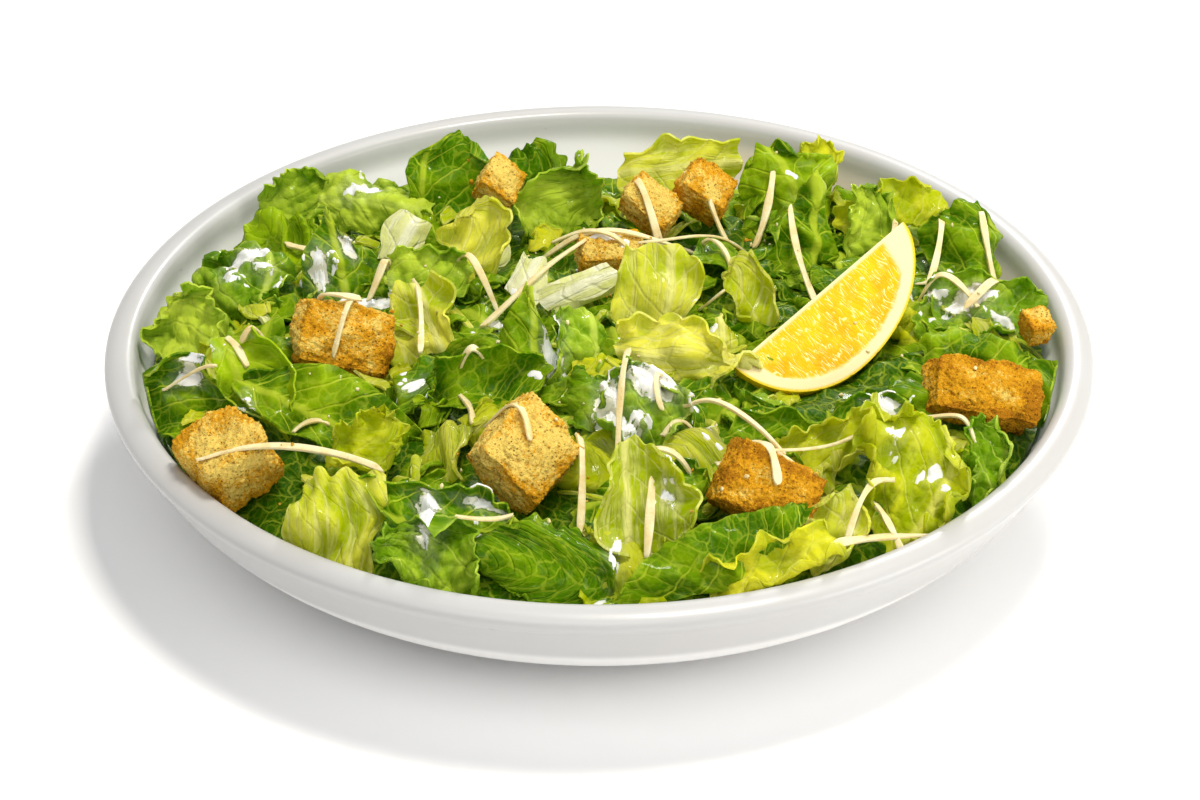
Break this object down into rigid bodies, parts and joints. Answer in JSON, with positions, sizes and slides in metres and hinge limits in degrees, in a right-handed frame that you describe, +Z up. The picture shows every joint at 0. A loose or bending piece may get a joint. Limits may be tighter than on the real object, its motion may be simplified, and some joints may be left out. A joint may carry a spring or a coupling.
{
  "type": "caesar salad",
  "caption": "Caesar salad heaped in a wide shallow bowl: romaine pieces, bread croutons, parmesan shreds and a lemon wedge.",
  "frame": {"origin": "middle of the bowl's foot, on the table", "axes": "+Z up, -Y towards the diner, +X to the diner's right"},
  "size_m": [0.28, 0.28, 0.0731],
  "materials": {
    "bowl_glaze": "smooth white glaze, softly shiny",
    "romaine": "damp veined leaf, dark to pale green, with dressing and pale cheese shreds",
    "toast": "dry toasted crumb, golden brown with herb specks",
    "lemon": "wet juicy flesh with white pith and waxy yellow peel"
  },
  "bodies": {
    "root": {"bowl": "bowl_glaze", "lettuce_heap": "romaine", "lemon_wedge": "lemon", "crouton_front_left": "toast", "crouton_left": "toast", "crouton_middle": "toast", "crouton_front_right": "toast", "crouton_right": "toast", "crouton_back_left": "toast", "crouton_back_middle": "toast", "crouton_back_right": "toast", "crouton_far_right": "toast", "crouton_sunk": "toast"}
  },
  "joints": []
}
